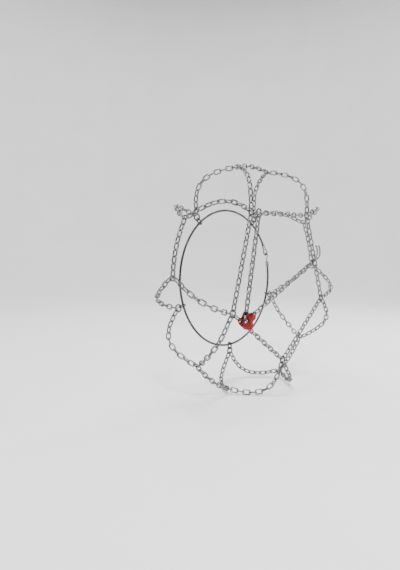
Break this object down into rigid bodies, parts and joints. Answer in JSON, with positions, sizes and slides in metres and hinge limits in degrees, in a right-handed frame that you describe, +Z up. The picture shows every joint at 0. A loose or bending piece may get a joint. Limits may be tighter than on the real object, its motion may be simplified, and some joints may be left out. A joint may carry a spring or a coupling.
{
  "type": "tyre snow chain",
  "caption": "Diamond-pattern snow chain for a car wheel: welded links over the tread, outer side chains with a red lock and a tightening chain with a wire hook, inner cable hoop.",
  "frame": {"origin": "centre of the wheel that the chain is fitted to, on the axle line and in the tyre's middle plane", "axes": "+Z up, the axle along Y, the wheel's outer face toward -Y, +X to the right when looking at the outer face"},
  "size_m": [0.6582, 0.2273, 0.6458],
  "materials": {
    "zinc_steel": "bright zinc plating",
    "plated_steel": "plated",
    "red_coating": "satin red coating",
    "black_sheath": "smooth plastic sheath over steel rope"
  },
  "bodies": {
    "net": {"cable_eye_end": "plated_steel", "cable_hook_end": "plated_steel", "cable_loop_1": "zinc_steel", "cable_loop_2": "zinc_steel", "cable_loop_3": "zinc_steel", "cable_loop_4": "zinc_steel", "cable_loop_5": "zinc_steel", "cross_chain_1": "zinc_steel", "cross_chain_10": "zinc_steel", "cross_chain_2": "zinc_steel", "cross_chain_3": "zinc_steel", "cross_chain_4": "zinc_steel", "cross_chain_5": "zinc_steel", "cross_chain_6": "zinc_steel", "cross_chain_7": "zinc_steel", "cross_chain_8": "zinc_steel", "cross_chain_9": "zinc_steel", "grab_link": "zinc_steel", "inner_cable": "black_sheath", "inner_ring_1": "zinc_steel", "inner_ring_2": "zinc_steel", "inner_ring_3": "zinc_steel", "inner_ring_4": "zinc_steel", "inner_ring_5": "zinc_steel", "lock_body": "red_coating", "lock_link": "zinc_steel", "lock_pin": "red_coating", "outer_ring_1": "zinc_steel", "outer_ring_2": "zinc_steel", "outer_ring_3": "zinc_steel", "outer_ring_4": "zinc_steel", "outer_ring_5": "zinc_steel", "ring_link": "zinc_steel", "side_chain_1": "zinc_steel", "side_chain_2": "zinc_steel", "side_chain_3": "zinc_steel", "side_chain_4": "zinc_steel", "side_chain_5": "zinc_steel", "tail_root": "zinc_steel", "tension_chain": "zinc_steel", "tension_ring": "zinc_steel", "tread_run_1": "zinc_steel", "tread_run_2": "zinc_steel", "tread_run_3": "zinc_steel", "tread_run_4": "zinc_steel", "tread_run_5": "zinc_steel"},
    "tail_start": {"tail_near": "zinc_steel"},
    "tail_end": {"tail_far": "zinc_steel"},
    "hook": {"tail_hook": "zinc_steel"}
  },
  "joints": [
    {"name": "tail_lift", "type": "hinge", "parent": "net", "child": "tail_start", "pos_m": [-0.13185, -0.10746, -0.07899], "axis": [0.4227, 0, -0.9063], "range_deg": [0, 75]},
    {"name": "tail_bend", "type": "hinge", "parent": "tail_start", "child": "tail_end", "pos_m": [-0.0071, -0.10746, -0.0208], "axis": [0.4227, 0, -0.9063], "range_deg": [0, 60]},
    {"name": "hook_swing", "type": "hinge", "parent": "tail_end", "child": "hook", "pos_m": [0.14891, -0.10746, 0.05196], "axis": [0.4227, 0, -0.9063], "range_deg": [0, 60]}
  ]
}
